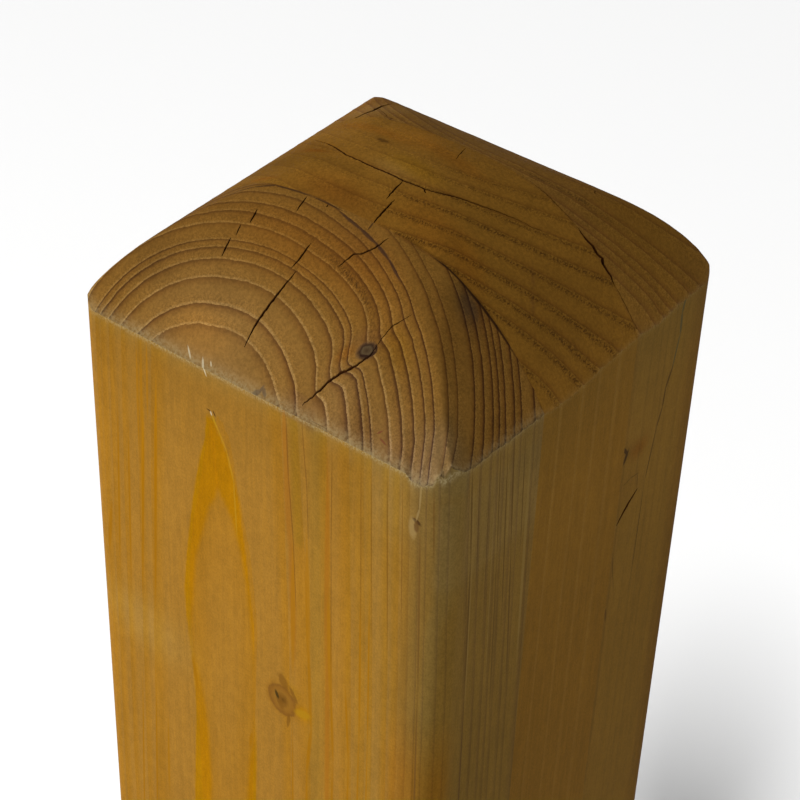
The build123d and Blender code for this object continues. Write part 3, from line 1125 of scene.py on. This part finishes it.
keep_grain(middle_board, mx, my, middle_depth, middle_ring_number, middle_ring_radii,
           middle_late, middle_line, middle_pale, middle_relief,
           np.interp(mx, (-12, 12), (0.4, 0.8)))

# Torn soft wood lies in rows just outside the ring lines, most of it right of the crown. Each
# row has its radius, its half width and how much is torn.
middle_radius = np.hypot(mx - middle_pith[0], my - middle_pith[1])
torn_rows = (
    (36.4, 0.45, 0.6), (40.0, 0.45, 0.6), (44.5, 0.5, 0.8), (48.5, 0.5, 1.0), (53.3, 0.5, 0.9),
    (57.8, 0.55, 1.0), (61.7, 0.55, 1.0), (65.3, 0.5, 1.0), (70.6, 0.5, 0.9), (75.0, 0.5, 0.7))
middle_torn = sum(full * hump(middle_radius, row, half) for row, half, full in torn_rows)
middle_torn = middle_torn * np.clip((mx + 1) / 8, 0.08, 1) * on_head
keep(middle_board, torn=middle_torn, quarter=np.ones(len(mx)),
     edge=edge_reach(mx, my, mz, 0.5, 0.8) * 0.2)

# Stains of the middle board: a pale patch at the crown, brown near the front line on the left
middle_tint = np.ones((len(mx), 3))
spots(middle_tint, mx, my, on_head, [
    (-45, -2, 18, 40, 0, "tawny", 0.5),
    (-24, -3, 9, 6, -20, "tawny", 0.9),
    (-29, -7, 8, 4, -20, "shade", 1.0),
    (-12, -6.4, 9, 1.8, -8, "shade", 1.0),
    (-22, -1.4, 4.5, 0.7, -12, "rust", 0.8),
    (-24, -14.6, 3.0, 0.9, 8, "rust", 0.7),
    (-4.5, -14.3, 9.5, 3.2, -3, "brown", 0.75),
    (38, 0, 8, 16, 0, "shade", 0.9),
    (1, 0.5, 7.5, 2.8, -5, "gold", 0.6),
    (1, 0.5, 9, 4, -5, "worn", 0.5),
    (14, -11, 9, 5, -15, "rust", 0.4),
    (-9, -12, 9, 4, 0, "rust", 0.25),
    (-6, 12, 7, 4, 0, "amber", 0.7),
    (-2, -2.6, 5, 2.4, -8, "worn", 0.7),
    (-9.8, 5.3, 1.3, 0.7, 0, "dark", 0.65),
    (-11.2, 5.6, 0.6, 0.5, 0, "dark", 0.6),
    (24, -12.5, 6, 3, -40, "rust", 0.35),
    (-26, 2, 14, 2.5, -24, "brown", 0.3),
    (-16, 9.5, 12, 1.6, -12, "rust", 0.5),
    (4, 8.5, 9, 2.2, -8, "rust", 0.45),
    (34, -6, 2.2, 0.35, -50, "violet", 0.6),
    (31, -2, 2.0, 0.35, -50, "violet", 0.6),
])
streaks(middle_tint, mx, my, on_head, [
    ([(10, front_joint), (36, front_joint)], 0.35, "dark", 0.5),
    ([(-40, back_joint), (15, back_joint)], 0.25, "brown", 0.4),
    ([(15, back_joint), (42, back_joint)], 0.5, "violet", 0.6),
])


def weather_sides(tint, x, y, z, depth, on_head, grey):
    """Weathers the planed faces: pale at the edge of the head, partly a painted highlight of the
    eave, greyed below it, and deeper in colour lower down."""
    lay_stain(tint, edge_reach(x, y, z, 0.8, 1.3) * (x > 40), "worn", 0.35)
    lay_stain(tint, np.interp(depth, (4, 22), (1, 0)) * ~on_head, "grey", grey)
    lay_stain(tint, np.interp(depth, (25, 80), (0, 0.6)) * ~on_head, "tawny", 1.0)


weather_sides(middle_tint, mx, my, mz, middle_depth, on_head, 0.25)
keep_tint(middle_board, middle_tint)
face_finishes(
    middle_board,
    end_grain("middle_end_grain", (127, 88, 29), (110, 71, 22), (92, 58, 20), (136, 100, 40),
              torn=(64, 38, 12)),
    side_grain("middle_side_grain", (115, 81, 23), (121, 87, 29), (122, 88, 31), (98, 68, 24),
               contrast=1.5))

# The back board: softwood planed to 29.8 mm, from a tree whose pith lay 17 mm behind it. Its
# glue line to the middle board has come open on the right, and a check runs in from its left
# corner.
back_grid = 0.4
back_pith = (8.0, 62.0)
back_ring_radii = (0, 5, 10, 15, 20, 25, 30, 35, 40, 44.2, 46.2, 49.1, 50.8, 52.6, 55.0, 59,
                   63, 68)
back_late = (0.3,) * 9 + (0.4,) + (0.5,) * 8
back_line = (0.4,) * 18
back_pale = (0.15,) * 18

back_ring_number, back_relief = round_rings(back_pith, back_ring_radii, 0.06, 5)

# Drying cracks of the back board: the check by its left corner, then the small ones
back_cracks = [
    ([(-27.0, 12.6), (-25.4, 14.4), (-24.3, 16.2), (-23.1, 18.9), (-23.6, 22.3), (-23.4, 25.6)],
     0.9, 5),
    ([(-22.9, 20.4), (-20.6, 18.8), (-18.6, 17.4), (-17.7, 16.5)], 0.22, 2),
    ([(-16.4, 15.4), (-16.3, 16.6)], 0.25, 1.5),
    ([(25.6, 26.4), (26.2, 25.5)], 0.3, 1.5),
]
back_points, back_faces = board_skin(back_joint, half_width, back_grid, ("right", "back", "left"),
                                     back_relief)
back_board = make_board("back_board", back_points, back_faces, back_cracks)

# The split beside the knot on the right face: its points are Y and the depth below the eave
side_split = [(22.7, 42.6), (20.0, 44.3), (17.6, 46.2), (15.6, 48.2)]
split_mouth = 0.9
split_depth = 3.0
split_place, split_aside, split_half, split_fullness = crack_run(side_split, split_mouth, 7)
split_fall = split_depth * split_fullness
split_spread = split_aside * (split_half * (1 + 1.0 / split_fall))[:, None]
cut_wedge(back_board, np.concatenate([
    np.column_stack([np.full(len(split_place), half_width + out),
                     split_place[:, 0] + side * split_spread[:, 0],
                     eave - split_place[:, 1] - side * split_spread[:, 1]])
    for out, side in ((1.0, 1), (1.0, -1), (-split_fall, 0))]))

# The open stretch of the back glue line: a dark gap along the edge of both boards
open_joint = [
    ([(15.0, 15.25), (22.4, 15.1), (29.5, 15.2), (30.6, 15.3)], 0.2, 2),
    ([(29.3, 15.3), (31.2, 15.1), (32.6, 15.5), (34.0, 15.3), (34.9, 15.9), (35.5, 15.2),
      (37.5, 15.3), (38.9, 14.9)], 0.75, 8),
    ([(38.5, 15.0), (44.3, 15.6)], 0.22, 3),
]
for beside in (middle_board, back_board):
    open_head_cracks(beside, open_joint)

bx, by, bz, back_depth, on_head = board_points(back_board)
keep_grain(back_board, bx, by, back_depth, back_ring_number, back_ring_radii,
           back_late, back_line, back_pale, back_relief)
back_radius = np.hypot(bx - back_pith[0], by - back_pith[1])
back_torn = hump(back_radius, 45.1, 0.7) * np.interp(bx, (12, 18, 26, 32), (0, 1, 1, 0.2))
keep(back_board, torn=on_head * back_torn * 0.8, quarter=np.ones(len(bx)),
     edge=edge_reach(bx, by, bz, 0.5, 0.8) * 0.2)

# Stains of the back board: pale and rusty by the left corner, brown towards the right
back_tint = np.ones((len(bx), 3))
spots(back_tint, bx, by, on_head, [
    (-34, 26, 12, 9, 30, "rust", 0.35),
    (-38, 38, 10, 8, 20, "worn", 1.0),
    (-33, 35, 8, 6, 20, "bleached", 0.15),
    (-16, 30, 8, 8, 20, "orange", 0.4),
    (-23, 21, 7, 4, 20, "bleached", 0.3),
    (36, 30, 12, 14, 0, "tawny", 0.7),
    (43, 40, 6, 8, 0, "shade", 0.9),
    (-10, 34, 14, 10, 0, "worn", 0.55),
    (10, 30, 22, 8, 0, "rust", 0.2),
    (-33, 39, 6, 3, -35, "grey", 0.4),
    (30, 17, 8, 2, 0, "violet", 0.15),
])

# The right face has a knot whose wood is stained round it
on_right = (bx > side_from) & ~on_head
spots(back_tint, by, -back_depth, on_right, [
    (21.0, -30.9, 3.2, 2.1, 0, "rust", 0.9),
    (20.6, -31.0, 4.2, 2.6, 0, "shade", 0.8),
    (17.5, -29, 2.4, 2.4, 0, "brown", 0.4),
    (19.5, -40, 4, 6, 0, "brown", 0.25),
    (14.8, -48.9, 1.4, 0.5, 40, "bleached", 0.4),
])
streaks(back_tint, by, -back_depth, on_right, [
    ([(15.6, 0), (15.8, -60), (15.4, -125)], 0.5, "brown", 0.35),
])
# Painted shade: the right face darkens towards its back arris, where it turns from the light
lay_stain(back_tint, np.interp(by, (35, 42), (0, 1)) * on_right, "brown", 0.8)
weather_sides(back_tint, bx, by, bz, back_depth, on_head, 0.35)
keep_tint(back_board, back_tint)

# Marks on the right face of the back board: Y, and down from the eave
back_right_marks = (
    # The upper end of the long dark line
    ((72, 66, 40), 0.8, (
        (32.9, 1.5, 31.9, -3.4, 0.4), (31.9, -3.0, 32.3, -8.5, 0.42),
        (32.3, -8.2, 30.8, -16.4, 0.3))),
    # The rest of the line
    ((62, 42, 16), 0.7, (
        (30.9, -16, 29.0, -20.6, 0.42), (29.1, -20.2, 28.8, -25, 0.34),
        (28.8, -25, 27.4, -29.4, 0.32), (27.5, -29, 25.3, -42.4, 0.26),
        (25.3, -42, 24.6, -70, 0.16))),
    # Bark in the knot
    ((52, 36, 14), 0.85, (
        (14.7, -27.0, 16.6, -29.6, 0.45), (16.7, -29.0, 15.7, -31.4, 0.55))),
    # Grain that bends round the knot and the split
    ((74, 50, 18), 0.7, (
        (14.6, -33, 15.4, -38.6, 0.2), (16.6, -38, 19.2, -37.6, 0.16),
        (19.0, -37.6, 22.2, -38.1, 0.16), (21.8, -38, 22.4, -42.4, 0.16),
        (14.8, -49, 15.0, -55, 0.22), (15.2, -55, 17.8, -68, 0.14),
        (15.4, -71.5, 15.8, -75, 0.35))),
)

face_finishes(
    back_board,
    end_grain("back_end_grain", (122, 86, 34), (108, 70, 28), (88, 56, 26), (138, 104, 56)),
    side_grain("back_side_grain", (115, 84, 29), (120, 86, 31), (107, 78, 28), (101, 73, 27),
               contrast=0.8, face="right", marks=back_right_marks))

# The studio: a plain pale floor that runs out of sight, a soft key light from the left, a
# weak one from the front and an even pale surround, as for a product's picture.
bpy.context.scene.view_settings.view_transform = "Standard"
floor_reach = 8000
floor_corners = floor_reach * np.array([(-1, -1, 0), (1, -1, 0), (1, 1, 0), (-1, 1, 0)])
floor = bpy.data.objects.new("floor", fill_mesh("floor", floor_corners, [(0, 1, 2, 3)]))
bpy.context.scene.collection.objects.link(floor)
floor_grey = 0.42
floor_finish = Finish("pale_floor")
floor_finish.shader.inputs["Base Color"].default_value = (floor_grey,) * 3 + (1,)
floor.data.materials.append(floor_finish.material)


def soft_light(name, azimuth, elevation, distance, width, height, power, colour=(1, 1, 1)):
    """A soft box that points at the head from one side."""
    a, e = math.radians(azimuth), math.radians(elevation)
    towards = Vector((math.sin(a) * math.cos(e), -math.cos(a) * math.cos(e), math.sin(e)))
    light = bpy.data.lights.new(name, "AREA")
    light.shape, light.size, light.size_y = "ELLIPSE", width, height
    light.energy, light.color = power, colour
    lamp = bpy.data.objects.new(name, light)
    lamp.location = Vector((0, 0, eave * mm)) + towards * distance
    lamp.rotation_mode = "QUATERNION"
    lamp.rotation_quaternion = towards.to_track_quat("Z", "Y")
    bpy.context.scene.collection.objects.link(lamp)
    return lamp


soft_light("key", -50, 15, 1.8, 0.9, 0.9, 28, (1, 0.98, 0.95))
soft_light("fill", 19, 50, 2.0, 0.8, 0.8, 5.6)

# A far light that reaches only the floor, so that the post throws its faint shadow there
floor_light = soft_light("floor_light", 19.8, 48.6, 40, 5.6, 6.8, 39800)
lit_floor = bpy.data.collections.new("lit_floor")
lit_floor.objects.link(floor)
floor_light.light_linking.receiver_collection = lit_floor

surround_strength = 0.42
world = bpy.data.worlds.new("studio")
world.use_nodes = True
surround = world.node_tree.nodes["Background"]
surround.inputs["Color"].default_value = (1, 1, 1, 1)
surround.inputs["Strength"].default_value = surround_strength
bpy.context.scene.world = world
